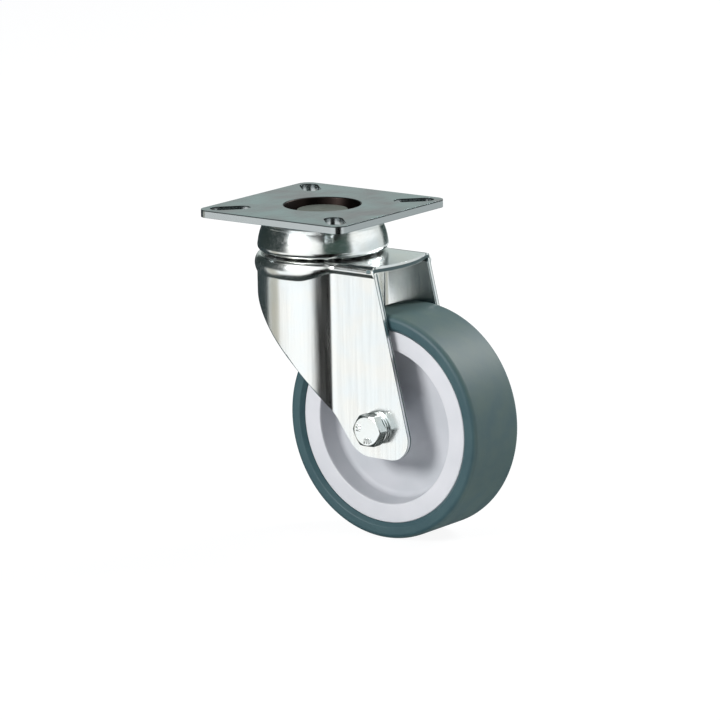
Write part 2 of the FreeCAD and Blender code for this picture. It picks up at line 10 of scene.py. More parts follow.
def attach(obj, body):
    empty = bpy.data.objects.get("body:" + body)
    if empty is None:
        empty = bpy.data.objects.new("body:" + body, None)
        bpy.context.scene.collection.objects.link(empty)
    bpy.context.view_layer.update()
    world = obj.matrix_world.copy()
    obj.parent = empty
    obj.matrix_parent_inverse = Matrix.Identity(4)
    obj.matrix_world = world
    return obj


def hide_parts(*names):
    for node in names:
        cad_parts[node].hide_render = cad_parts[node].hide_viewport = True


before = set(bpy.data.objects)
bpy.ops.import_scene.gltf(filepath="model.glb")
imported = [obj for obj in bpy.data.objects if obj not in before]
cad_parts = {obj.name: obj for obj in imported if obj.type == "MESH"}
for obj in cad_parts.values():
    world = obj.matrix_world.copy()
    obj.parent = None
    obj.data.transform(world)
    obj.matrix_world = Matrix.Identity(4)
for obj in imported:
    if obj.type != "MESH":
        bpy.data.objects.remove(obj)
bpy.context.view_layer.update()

# The picture: one long lens from a little above, at the photograph's angle. The studio is a pale
# floor in a white room with two large soft lamps. Grey and dark screens hang round the room, and
# only metal and other gloss mirror them. Its lengths are in metres, but for lens and sensor.
FLOOR_Z, FLOOR_R, FLOOR_SIDES, FLOOR_GLOW, GLOW_SHARE = -0.106, 6.0, 96, 1.08, 0.85
LENS_MM = 252.6963
SENSOR_MM = 36.0
CAMERA_AT = (0.9946271, -1.2918332, 0.3081698)
CAMERA_RIGHT = (0.7988315, 0.6013013, -0.0174611)
CAMERA_UP = (-0.1163613, 0.1829346, 0.9762146)
CAMERA_BACK = (0.5901934, -0.7777992, 0.2161021)


def linear(hex_colour):
    """Turns an sRGB hex value such as d8d8da to linear, with alpha 1."""
    parts = np.array([int(hex_colour[i:i + 2], 16) / 255 for i in (0, 2, 4)])
    bright = np.where(parts <= 0.04045, parts / 12.92, ((parts + 0.055) / 1.055) ** 2.4)
    return (*bright.tolist(), 1.0)


def add_node(tree, kind, settings=None, inputs=None):
    """Adds a node, sets its settings, and gives each input its value or links it to an output."""
    node = tree.nodes.new(kind)
    for key, value in (settings or {}).items():
        setattr(node, key, value)
    for key, value in (inputs or {}).items():
        if isinstance(value, bpy.types.NodeSocket):
            tree.links.new(value, node.inputs[key])
        else:
            node.inputs[key].default_value = value
    return node


camera = bpy.data.objects.new("camera", bpy.data.cameras.new("camera"))
bpy.context.scene.collection.objects.link(camera)
camera.matrix_world = Matrix((
    (CAMERA_RIGHT[0], CAMERA_UP[0], CAMERA_BACK[0], CAMERA_AT[0]),
    (CAMERA_RIGHT[1], CAMERA_UP[1], CAMERA_BACK[1], CAMERA_AT[1]),
    (CAMERA_RIGHT[2], CAMERA_UP[2], CAMERA_BACK[2], CAMERA_AT[2]),
    (0, 0, 0, 1),
))
camera.data.sensor_width = SENSOR_MM
camera.data.lens = LENS_MM
camera.data.clip_start = 0.05
camera.data.clip_end = 20
bpy.context.scene.camera = camera
bpy.context.scene.view_settings.view_transform = "Standard"


def studio_part(tree, value, middle, half, soft):
    """1 where the value is within half of the middle, falling smoothly to 0 over soft more."""
    away = add_node(tree, "ShaderNodeMath", {"operation": "SUBTRACT"}, {0: value, 1: middle})
    size = add_node(tree, "ShaderNodeMath", {"operation": "ABSOLUTE"}, {0: away.outputs[0]})
    return add_node(tree, "ShaderNodeMapRange", {"interpolation_type": "SMOOTHSTEP"}, {
        "Value": size.outputs[0], "From Min": half, "From Max": half + soft,
        "To Min": 1.0, "To Max": 0.0}).outputs[0]


def studio_screen(tree, turn, rise, side, height):
    """1 on a screen and 0 off it: the share across, round +Z, times the share in height.

    side and height are the (middle, half, soft) of a row in SCREENS.
    """
    middle, half, soft = (math.radians(angle) for angle in side)
    away = add_node(tree, "ShaderNodeMath", {"operation": "SUBTRACT"}, {0: turn, 1: middle})
    wrapped = add_node(tree, "ShaderNodeMath", {"operation": "WRAP"},
                       {0: away.outputs[0], 1: math.pi, 2: -math.pi}).outputs[0]
    across = studio_part(tree, wrapped, 0.0, half, soft)
    return add_node(tree, "ShaderNodeMath", {"operation": "MULTIPLY"},
                    {0: across, 1: studio_part(tree, rise, *height)}).outputs[0]


# The screens, each over those before it: (degrees round +Z, half width, soft edge), the same three
# for the height as the sine of the angle above level, and the colour. The white room is a little
# brighter than 1, because zinc dims what it mirrors.
ROOM_COLOUR, FILL_COLOUR, FILL_LEVEL = (1.17, 1.18, 1.18, 1), "bcd0f0", 0.13
SCREENS = [
    ((150, 34, 24), (0.20, 0.34, 0.16), "c6d0cd"),
    ((158, 34, 6), (-0.50, 0.40, 0.14), "343e40"),
    ((60, 40, 20), (-0.35, 0.40, 0.15), "dfe4e4"),
    ((95, 45, 20), (-0.78, 0.36, 0.14), "7f8c90"),
    ((-90, 80, 20), (-0.90, 0.35, 0.16), "2c3433"),
    ((-150, 9, 4), (-0.30, 0.16, 0.06), "c2c0b4"),
    ((-165, 42, 9), (0.26, 0.33, 0.06), "2c3635"),
    ((-178, 34, 9), (0.78, 0.18, 0.06), "1a201f"),
    ((-28, 24, 6), (0.34, 0.36, 0.10), "42544e"),
    ((98, 14, 7), (0.25, 0.35, 0.10), "394846"),
    ((-44, 25, 3), (-0.38, 0.42, 0.05), "0a0807"),
]


def build_studio_world():
    """White to the camera, a faint blue fill to matt surfaces, and to gloss the room with its screens."""
    world = bpy.data.worlds.new("studio")
    bpy.context.scene.world = world
    world.use_nodes = True
    tree = world.node_tree
    tree.nodes.clear()
    way = add_node(tree, "ShaderNodeSeparateXYZ", None, {
        0: add_node(tree, "ShaderNodeTexCoord").outputs["Generated"]})
    turn = add_node(tree, "ShaderNodeMath", {"operation": "ARCTAN2"},
                    {0: way.outputs["Y"], 1: way.outputs["X"]}).outputs[0]
    room = add_node(tree, "ShaderNodeRGB")
    room.outputs[0].default_value = ROOM_COLOUR
    room = room.outputs[0]
    for side, height, colour in SCREENS:
        room = add_node(tree, "ShaderNodeMix", {"data_type": "RGBA"}, {
            "Factor": studio_screen(tree, turn, way.outputs["Z"], side, height),
            "A": room, "B": linear(colour)}).outputs["Result"]
    path = add_node(tree, "ShaderNodeLightPath")
    gloss = add_node(tree, "ShaderNodeBackground", None, {"Color": room, "Strength": 1.0})
    fill = add_node(tree, "ShaderNodeBackground", None, {
        "Color": linear(FILL_COLOUR), "Strength": FILL_LEVEL})
    white = add_node(tree, "ShaderNodeBackground", None, {"Color": linear("ffffff"), "Strength": 1.0})
    lit = add_node(tree, "ShaderNodeMixShader", None, {
        0: path.outputs["Is Glossy Ray"], 1: fill.outputs[0], 2: gloss.outputs[0]})
    seen = add_node(tree, "ShaderNodeMixShader", None, {
        0: path.outputs["Is Camera Ray"], 1: lit.outputs[0], 2: white.outputs[0]})
    add_node(tree, "ShaderNodeOutputWorld", None, {"Surface": seen.outputs[0]})
    world.cycles.sampling_method = "NONE"


def add_floor():
    """A wide disc of white paper under the tyre: rim = (R cos t, R sin t, floor).

    It glows to the camera, so that it stays pale, and keeps a faint shadow of the castor. Gloss looks
    through it, so metal mirrors the room and its screens.
    """
    mesh = bpy.data.meshes.new("floor")
    turn = np.linspace(0, 2 * math.pi, FLOOR_SIDES, endpoint=False)
    rim = np.stack([FLOOR_R * np.cos(turn), FLOOR_R * np.sin(turn), np.full(FLOOR_SIDES, FLOOR_Z)], 1)
    mesh.from_pydata(rim.tolist(), [], [list(range(FLOOR_SIDES))])
    floor = bpy.data.objects.new("floor", mesh)
    bpy.context.scene.collection.objects.link(floor)
    paper = bpy.data.materials.new("white_paper_sweep")
    paper.use_nodes = True
    tree = paper.node_tree
    tree.nodes.clear()
    path = add_node(tree, "ShaderNodeLightPath")
    shade = add_node(tree, "ShaderNodeBsdfDiffuse", None, {"Color": linear("ffffff")})
    glow = add_node(tree, "ShaderNodeEmission", None, {
        "Color": linear("ffffff"), "Strength": FLOOR_GLOW})
    pale = add_node(tree, "ShaderNodeMixShader", None, {
        0: GLOW_SHARE, 1: shade.outputs[0], 2: glow.outputs[0]})
    clear = add_node(tree, "ShaderNodeBsdfTransparent")
    plain = add_node(tree, "ShaderNodeMixShader", None, {
        0: path.outputs["Is Camera Ray"], 1: shade.outputs[0], 2: pale.outputs[0]})
    seen = add_node(tree, "ShaderNodeMixShader", None, {
        0: path.outputs["Is Glossy Ray"], 1: plain.outputs[0], 2: clear.outputs[0]})
    add_node(tree, "ShaderNodeOutputMaterial", None, {"Surface": seen.outputs[0]})
    mesh.materials.append(paper)


def add_lamp(name, at, aim, size, watts):
    """A soft square lamp that faces the point aim."""
    lamp = bpy.data.lights.new(name, "AREA")
    lamp.energy = watts
    lamp.size = size
    holder = bpy.data.objects.new(name, lamp)
    bpy.context.scene.collection.objects.link(holder)
    away = np.array(at, float) - np.array(aim, float)
    back = away / np.linalg.norm(away)
    right = np.cross((0, 0, 1), back)
    right = right / np.linalg.norm(right)
    up = np.cross(back, right)
    holder.matrix_world = Matrix((
        (right[0], up[0], back[0], at[0]),
        (right[1], up[1], back[1], at[1]),
        (right[2], up[2], back[2], at[2]),
        (0, 0, 0, 1),
    ))


build_studio_world()
add_floor()
add_lamp("key_lamp", (-0.3, -1.5, 0.72), (0.03, 0, -0.06), 0.55, 25)
add_lamp("rear_lamp", (0.5, 1.25, 0.85), (0.05, 0, -0.05), 0.6, 20)


# Top plate: 2.5 mm mild steel strip, blanked with its four slots and drawn down in the middle to a
# dish for the rivet's head, then bright zinc plated. Furniture screws hold it from below. All sizes
# from here on are in mm, and build_piece turns them to metres.
MM = 0.001
PLATE_HALF, PLATE_THICK, PLATE_CORNER = 29.5, 2.5, 4.0
SLOT_R, SLOT_NEAR, SLOT_FAR = 3.15, 19.0 * math.sqrt(2), 24.0 * math.sqrt(2)
DISH_MOUTH, DISH_LIP, DISH_DEEP, DISH_CORNER = 13.2, 0.6, 5.4, 1.0
DISH_DRAFT, DISH_HOLE_R, BURR, TURN_STEPS = 0.7, 5.55, 0.35, 160
# The edge colour is painted light, the underside and dish colours are painted shade, and the line colour
# draws a thin dark line under the top face.
LIT_EDGE_COLOUR, TOP_LINE_COLOUR, SHADED_DISH_COLOUR, SHADED_UNDER_COLOUR = "b0b6b7", "444b4c", "211b19", "3f4748"


def outline(corners, close=False, step=6.0):
    """A path through (x, y) corners. In (x, y, radius) an arc leads there, counter-clockwise if positive.

    On an arc the points are centre + radius (cos t, sin t), with t in even steps of about step degrees.
    """
    spots = [np.array(corner[:2], float) for corner in corners]
    pieces = [] if close else [spots[:1]]
    for index in range(0 if close else 1, len(corners)):
        start, end = spots[index - 1], spots[index]
        if len(corners[index]) == 2:
            pieces.append([end])
            continue
        radius = corners[index][2]
        half = (end - start) / 2
        bow = math.sqrt(max(radius ** 2 - half @ half, 0.0))
        side = np.array((-half[1], half[0])) / math.sqrt(half @ half) * math.copysign(bow, radius)
        centre = (start + end) / 2 + side
        first = math.atan2(*(start - centre)[::-1])
        sweep = (math.atan2(*(end - centre)[::-1]) - first) % (math.copysign(2 * math.pi, radius))
        count = max(2, math.ceil(abs(math.degrees(sweep)) / step))
        turn = first + sweep * np.arange(1, count + 1) / count
        pieces.append(centre + abs(radius) * np.stack([np.cos(turn), np.sin(turn)], 1))
    return np.concatenate(pieces)


def grid_faces(rows, columns, close_rows=False, close_columns=False):
    """Quads between the points p(i, j) of a grid; a closed direction joins its last line to its first."""
    i = np.arange(rows if close_rows else rows - 1)[:, None]
    j = np.arange(columns if close_columns else columns - 1)[None, :]
    after_i, after_j = (i + 1) % rows, (j + 1) % columns
    quads = [i * columns + j, i * columns + after_j, after_i * columns + after_j, after_i * columns + j]
    return np.stack(np.broadcast_arrays(*quads), -1).reshape(-1, 4)


def turned(profile, axis="z", centre=(0, 0, 0), close=True, steps=TURN_STEPS):
    """A profile (r, h) carried round an axis: p = centre + r (cos t u + sin t v) + h w."""
    u, v, w = {"z": ((1, 0, 0), (0, 1, 0), (0, 0, 1)), "y": ((0, 0, 1), (1, 0, 0), (0, 1, 0))}[axis]
    turn = np.linspace(0, 2 * math.pi, steps, endpoint=False)
    round_way = np.cos(turn)[:, None] * np.array(u) + np.sin(turn)[:, None] * np.array(v)
    points = profile[:, 0, None, None] * round_way + profile[:, 1, None, None] * np.array(w, float)
    return points + np.array(centre, float), grid_faces(len(profile), steps, close, True)


def build_piece(name, patches, material, body, nodes, soft=0.2, soft_steps=3, thick=0.0):
    """One closed piece in metres from patches of (points, faces) in mm: merged, and its faces out.

    thick gives a single skin its wall inwards, and soft rounds the edges, both in mm. The piece rides
    on the body and stands for the nodes.
    """
    points, faces, count = [], [], 0
    for patch_points, patch_faces in patches:
        flat = np.asarray(patch_points, float).reshape(-1, 3) * MM
        points.append(flat)
        faces += (np.asarray(patch_faces) + count).tolist()
        count += len(flat)
    mesh = bpy.data.meshes.new(name)
    mesh.from_pydata(np.concatenate(points).tolist(), [], faces)
    # Points that patches share, or that lie on an axis, become one.
    work = bmesh.new()
    work.from_mesh(mesh)
    bmesh.ops.remove_doubles(work, verts=work.verts, dist=2e-6)
    bmesh.ops.dissolve_degenerate(work, edges=work.edges, dist=1e-7)
    bmesh.ops.recalc_face_normals(work, faces=work.faces)
    work.to_mesh(mesh)
    work.free()
    mesh.shade_smooth()
    mesh.materials.append(material)
    piece = bpy.data.objects.new(name, mesh)
    bpy.context.scene.collection.objects.link(piece)
    if thick:
        wall = piece.modifiers.new("sheet", "SOLIDIFY")
        wall.thickness = thick * MM
        wall.offset = -1.0
        wall.use_even_offset = True
        wall.use_quality_normals = True
    if soft:
        edges = piece.modifiers.new("edges", "BEVEL")
        edges.width = soft * MM
        edges.segments = soft_steps
        edges.limit_method = "ANGLE"
        edges.angle_limit = math.radians(28)
    piece.modifiers.new("flats", "WEIGHTED_NORMAL").keep_sharp = False
    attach(piece, body)
    if nodes:
        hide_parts(*nodes)
    return piece


def new_surface(name):
    """A material with one Principled shader; gives the tree, the shader and the Object coordinates."""
    material = bpy.data.materials.new(name)
    material.use_nodes = True
    tree = material.node_tree
    shader = tree.nodes["Principled BSDF"]
    place = add_node(tree, "ShaderNodeTexCoord").outputs["Object"]
    return material, tree, shader, place


def noise(tree, place, size_mm, detail=2.0, stretch=(1, 1, 1)):
    """Soft noise whose patches are about size_mm wide, drawn out along an axis by stretch."""
    scale = [1 / (size_mm * MM * factor) for factor in stretch]
    spread = add_node(tree, "ShaderNodeMapping", None, {"Vector": place, "Scale": scale})
    return add_node(tree, "ShaderNodeTexNoise", None, {
        "Vector": spread.outputs[0], "Scale": 1.0, "Detail": detail}).outputs["Fac"]


def blend_range(tree, factor, low, high, first, second):
    """A colour or number that goes from first to second as the factor goes from low to high."""
    if isinstance(first, str):
        share = add_node(tree, "ShaderNodeMapRange", None, {
            "Value": factor, "From Min": low, "From Max": high}).outputs[0]
        return add_node(tree, "ShaderNodeMix", {"data_type": "RGBA"}, {
            "Factor": share, "A": linear(first), "B": linear(second)}).outputs["Result"]
    return add_node(tree, "ShaderNodeMapRange", None, {
        "Value": factor, "From Min": low, "From Max": high, "To Min": first, "To Max": second}).outputs[0]


def bright_zinc(name, streaks, cool="e4eaeb", warm="e8eae7", film_mm=9.0, rough=(0.12, 0.23)):
    """Bright zinc on cold-rolled strip. The plating follows the strip's fine drawing streaks, which
    spread the shine along them, and its thin chromate film tints it bluish with faint yellow patches.
    Real streaks are about 0.1 mm wide, too fine to show, so they are drawn 0.8 mm wide.
    """
    material, tree, shader, place = new_surface(name)
    film = noise(tree, place, film_mm)
    streak = noise(tree, place, 0.8, 3.0, streaks)
    wave = noise(tree, place, 6.0, 1.0)
    tint = blend_range(tree, film, 0.35, 0.65, cool, warm)
    tree.links.new(tint, shader.inputs["Base Color"])
    tree.links.new(blend_range(tree, streak, 0.3, 0.75, *rough), shader.inputs["Roughness"])
    shader.inputs["Metallic"].default_value = 1.0
    relief = add_node(tree, "ShaderNodeMath", {"operation": "MULTIPLY_ADD"}, {0: streak, 1: 0.12, 2: wave})
    bump = add_node(tree, "ShaderNodeBump", None, {
        "Height": relief.outputs[0], "Strength": 0.28, "Distance": 0.12 * MM})
    tree.links.new(bump.outputs[0], shader.inputs["Normal"])
    return material


def cut_wall(path, low, high):
    """A wall: p(i, j) = (path j, z i), the path (x, y) carried from height high down to low."""
    rows = [np.column_stack([path, np.full(len(path), z)]) for z in (high, low)]
    return np.stack(rows), grid_faces(2, len(path), False, True)


def flat_face(loops, z):
    """A flat face at height z inside the first loop (x, y) and outside the others."""
    rings = [np.column_stack([loop, np.full(len(loop), z)]) for loop in loops]
    triangles = tessellate_polygon([ring.tolist() for ring in rings])
    return np.concatenate(rings), triangles


def circle(radius):
    """A circle R (cos t, sin t) about the swivel axis, with the same points as a turned surface."""
    turn = np.linspace(0, 2 * math.pi, TURN_STEPS, endpoint=False)
    return radius * np.stack([np.cos(turn), np.sin(turn)], 1)


def plate_patches():
    """Both flat faces, the walls of the outline and the slots, and the turned dish."""
    flat = PLATE_HALF - PLATE_CORNER
    square = outline([corner for x, y in ((1, 1), (-1, 1), (-1, -1), (1, -1)) for corner in (
        ((PLATE_HALF * x, flat * y), (flat * x, PLATE_HALF * y, PLATE_CORNER))
        if x * y > 0 else ((flat * x, PLATE_HALF * y), (PLATE_HALF * x, flat * y, PLATE_CORNER)))], True)
    slot = outline([(SLOT_FAR, -SLOT_R), (SLOT_FAR, SLOT_R, SLOT_R), (SLOT_NEAR, SLOT_R),
                    (SLOT_NEAR, -SLOT_R, SLOT_R)], True)
    slots = []
    for quarter in range(4):
        turn = math.radians(45 + 90 * quarter)
        spin = np.array(((math.cos(turn), math.sin(turn)), (-math.sin(turn), math.cos(turn))))
        slots.append(slot @ spin)
    wall = DISH_MOUTH - DISH_LIP
    out = wall + PLATE_THICK
    bend = DISH_CORNER + PLATE_THICK
    under = -(DISH_DEEP + PLATE_THICK)
    dish = turned(outline([
        (DISH_MOUTH, 0), (wall, -DISH_LIP, DISH_LIP), (wall - DISH_DRAFT, DISH_CORNER - DISH_DEEP),
        (wall - DISH_DRAFT - DISH_CORNER, -DISH_DEEP, -DISH_CORNER), (DISH_HOLE_R, -DISH_DEEP),
        (DISH_HOLE_R, under), (out - bend, under), (out, under + bend, bend), (out, -PLATE_THICK)]),
        close=False)
    return ([cut_wall(loop, -PLATE_THICK, 0) for loop in [square] + slots]
            + [flat_face([square] + slots + [circle(DISH_MOUTH)], 0),
               flat_face([square] + slots + [circle(out)], -PLATE_THICK), dish])


def between(tree, value, low, high):
    """1 where the value, in metres, lies between low and high mm, else 0."""
    above = add_node(tree, "ShaderNodeMath", {"operation": "GREATER_THAN"}, {0: value, 1: low * MM})
    below = add_node(tree, "ShaderNodeMath", {"operation": "LESS_THAN"}, {0: value, 1: high * MM})
    return add_node(tree, "ShaderNodeMath", {"operation": "MULTIPLY"}, {
        0: above.outputs[0], 1: below.outputs[0]}).outputs[0]


def cover(tree, mask, colour, roughness):
    """Lays another finish over the shader's colour and roughness where the mask is 1."""
    shader = tree.nodes["Principled BSDF"]
    for name, kind, value in (("Base Color", "RGBA", linear(colour)), ("Roughness", "FLOAT", roughness)):
        plain = shader.inputs[name].links[0].from_socket
        mixed = add_node(tree, "ShaderNodeMix", {"data_type": kind}, {"Factor": mask, "A": plain, "B": value})
        tree.links.new(mixed.outputs["Result"], shader.inputs[name])


def paint_plate_light_and_shade(material):
    """The plate's light and shade are painted: the sheared edges are painted brighter than the rolled
    face, under a thin dark line just below the top face. The underside is painted dark as painted
    shade, and rougher. The dish's wall and floor are painted dark and brownish as painted shade, and
    rougher.
    """
    tree = material.node_tree
    place = add_node(tree, "ShaderNodeSeparateXYZ", None, {
        0: add_node(tree, "ShaderNodeTexCoord").outputs["Object"]})
    # Bands of height in mm: the sheared edge painted lighter, the underside in painted shade, and a thin dark
    # line just under the top face.
    for low, high, colour, roughness in (
            (0.1 - PLATE_THICK, -0.05, LIT_EDGE_COLOUR, 0.2),
            (-20, 0.02 - PLATE_THICK, SHADED_UNDER_COLOUR, 0.3),
            (-BURR, -0.02, TOP_LINE_COLOUR, 0.4)):
        cover(tree, between(tree, place.outputs["Z"], low, high), colour, roughness)
    # Painted shade on the dish's wall and floor, below its mouth.
    plan = add_node(tree, "ShaderNodeCombineXYZ", None, {0: place.outputs["X"], 1: place.outputs["Y"]})
    radius = add_node(tree, "ShaderNodeVectorMath", {"operation": "LENGTH"}, {0: plan.outputs[0]})
    inside = add_node(tree, "ShaderNodeMath", {"operation": "LESS_THAN"}, {
        0: radius.outputs["Value"], 1: (DISH_MOUTH + 1.0) * MM})
    deep = add_node(tree, "ShaderNodeMapRange", {"interpolation_type": "SMOOTHSTEP"}, {
        "Value": place.outputs["Z"], "From Min": -0.01 * MM, "From Max": -0.2 * MM})
    dull = add_node(tree, "ShaderNodeMath", {"operation": "MULTIPLY"}, {
        0: inside.outputs[0], 1: deep.outputs[0]}).outputs[0]
    cover(tree, dull, SHADED_DISH_COLOUR, 0.36)


# The plate's zinc colours are far darker than the fork's: painted shade over the whole plate.
plate_zinc = bright_zinc("bright_zinc_on_plate", (1, 14, 1), "7b9596", "6c676c", 16.0)
paint_plate_light_and_shade(plate_zinc)
build_piece("plate_sheet", plate_patches(), plate_zinc, "plate", ["top_plate"], 0.7, 5)


# King pin: an annealed steel rivet, machined with a shoulder for the lower race. Its head sits in
# the dish and its foot was spun over under the race, which leaves rings and a duller plating.
PIN_HEAD_R, PIN_HEAD_THICK, PIN_SHANK_R, PIN_NECK_R, PIN_FOOT_R = 8.4, 3.7, 5.5, 4.5, 7.5
RACE_TOP, RACE_UNDER, PIN_FOOT_THICK = -14.61, -20.19, 2.0
DIMPLE_R, DIMPLE_DEEP, DIMPLE_ROUND, RING_PITCH = 2.2, 0.35, 9.0, 0.349


def rivet_steel():
    """Plain zinc over turned steel: grey-green, with fine lathe rings that blur what it mirrors. Real
    rings are about 0.1 mm apart, too fine to show, so they are drawn RING_PITCH apart.
    """
    material, tree, shader, place = new_surface("dull_zinc_on_rivet")
    rings = add_node(tree, "ShaderNodeTexWave", {"wave_type": "RINGS", "rings_direction": "Z"}, {
        "Vector": place, "Scale": math.pi / (10 * RING_PITCH * MM), "Distortion": 1.2,
        "Detail": 1.0}).outputs["Fac"]
    patch = noise(tree, place, 3.0)
    tree.links.new(blend_range(tree, patch, 0.3, 0.75, "5e625a", "72756c"), shader.inputs["Base Color"])
    tree.links.new(blend_range(tree, rings, 0, 1, 0.34, 0.46), shader.inputs["Roughness"])
    shader.inputs["Metallic"].default_value = 1.0
    bump = add_node(tree, "ShaderNodeBump", None, {
        "Height": rings, "Strength": 0.25, "Distance": 0.03 * MM})
    tree.links.new(bump.outputs[0], shader.inputs["Normal"])
    return material


pin_top = PIN_HEAD_THICK - DISH_DEEP
pin_foot = RACE_UNDER - PIN_FOOT_THICK
build_piece("rivet", [turned(outline([
    (0, pin_top - DIMPLE_DEEP), (DIMPLE_R, pin_top, DIMPLE_ROUND), (PIN_HEAD_R, pin_top),
    (PIN_HEAD_R, -DISH_DEEP), (PIN_SHANK_R, -DISH_DEEP), (PIN_SHANK_R, RACE_TOP),
    (PIN_NECK_R, RACE_TOP), (PIN_NECK_R, RACE_UNDER), (PIN_FOOT_R, RACE_UNDER),
    (PIN_FOOT_R - PIN_FOOT_THICK, pin_foot, -PIN_FOOT_THICK), (0, pin_foot)]), close=False)],
    rivet_steel(), "plate", ["king_pin"], 0.5)


# Upper race: a pressed steel cup, hardened on the inside of its shoulder where the balls run, spot
# welded under the plate before plating. Its flared wall hides the ball ring from dust.
CUP_BORE_R, CUP_FLOOR_R, CUP_TOP_R, CUP_TOP_ROUND, CUP_THICK = 14.55, 16.4, 17.0, 4.1, 2.0
GROOVE_TOP, GROOVE_FOOT, GROOVE_ROUND = (17.43, -7.92), (19.04, -10.6), 3.04
CUP_NECK, CUP_FLARE, CUP_LIP, CUP_LIP_ROUND = (20.1, -6.6), 21.6, (21.6, -12.5), 1.98
CUP_END_IN, CUP_END_OUT, CUP_END_Z = 19.8, 20.7, -14.5
cup_floor = -PLATE_THICK - CUP_THICK
build_piece("race_cup", [turned(outline([
    (CUP_BORE_R, -PLATE_THICK), (CUP_BORE_R, cup_floor), (CUP_FLOOR_R, cup_floor), GROOVE_TOP,
    (*GROOVE_FOOT, -GROOVE_ROUND), (CUP_END_IN, CUP_END_Z), (CUP_END_OUT, CUP_END_Z),
    (*CUP_LIP, CUP_LIP_ROUND), (*CUP_NECK, CUP_FLARE), (CUP_TOP_R, -PLATE_THICK, CUP_TOP_ROUND)], True))],
    bright_zinc("bright_zinc_on_cup", (2, 2, 1), rough=(0.15, 0.26)), "plate", ["upper_race"], 0.25)


# Fork: one 2 mm sheet, blanked, drawn to a round head with a raised crown, and bent to two flat
# legs, then bright zinc plated. The drawing leaves upright streaks and a soft valley on each side
# where the round head runs into the flat leg.
FORK_THICK, FORK_TOP, HEAD_R, LEG_OUT, VALLEY = 2.0, -15.4, 21.8, 15.5, 4.0
SHOULDER_IN, LEG_SHOULDER, HEAD_SHOULDER, NECK_SHARE, BULGE = 2.3, 3.5, 6.4, 0.46, 0.8
TORN_FROM, TORN, TORN_REAR, TORN_COLOUR = 0.12, 0.75, 1.2, "5a696b"
REAR_X, REAR_R, SOLE, LEG_FRONT, LEG_REAR = 31.61, 34.3, -78.4, 17.5, 60.0
CROWN_HOLE_R, CROWN_FLAT_R, CROWN_TOP, CROWN_FOOT_R = 6.3, 13.06, -11.36, 19.2
CROWN_FLANK, CROWN_ROUND = (16.0, -13.64), 3.04
TOE_X, TOE_ROUND, HEEL_X, HEEL_ROUND = 24.6, 10.3, 46.8, 7.0
BROW, BEND_START, BEND_END, BEND_ROUND = (-24.1, -21.0), (1.8, -48.1), (11.4, -59.8), 104.0


def rounded_corner(before, corner, after, radius):
    """The two ends of the arc that rounds a corner, the second with the arc's signed radius."""
    before, corner, after = (np.array(point, float) for point in (before, corner, after))
    one = (before - corner) / np.linalg.norm(before - corner)
    two = (after - corner) / np.linalg.norm(after - corner)
    reach = radius / math.tan(math.acos(one @ two) / 2)
    sign = math.copysign(radius, one[1] * two[0] - one[0] * two[1])
    return tuple(corner + one * reach), (*(corner + two * reach), sign)


def leg_border():
    """The sheet's lower border (x, z) from the front of the head round toe and heel to the top rear."""
    toe, heel, rear = (TOE_X, SOLE), (HEEL_X, SOLE), (REAR_X, FORK_TOP)
    return outline([BROW, BEND_START, (*BEND_END, -BEND_ROUND),
                    *rounded_corner(BEND_END, toe, heel, TOE_ROUND),
                    *rounded_corner(toe, heel, rear, HEEL_ROUND), rear], False, 4.0)


def half_plan(x_marks):
    """The far half of the plan from the front, as points and outward ways.

    The head is R (cos t, sin t), the leg is y = LEG_OUT, and between them the valley is
    centre + V (cos t, sin t), with its centre R + V from the swivel axis and V outside the leg.
    """
    centre_y = LEG_OUT + VALLEY
    centre_x = math.sqrt((HEAD_R + VALLEY) ** 2 - centre_y ** 2)
    meet = math.atan2(centre_y, centre_x)
    head = np.linspace(math.pi, meet, 60)
    head_way = np.stack([np.cos(head), np.sin(head)], 1)
    bend = np.linspace(math.pi + meet, 1.5 * math.pi, 10)[1:]
    bend_way = -np.stack([np.cos(bend), np.sin(bend)], 1)
    marks = x_marks[x_marks > centre_x + 0.4]
    leg = np.stack([marks, np.full(len(marks), LEG_OUT)], 1)
    points = np.concatenate([HEAD_R * head_way, (centre_x, centre_y) - VALLEY * bend_way, leg])
    ways = np.concatenate([head_way, bend_way, np.tile((0.0, 1.0), (len(leg), 1))])
    return points, ways


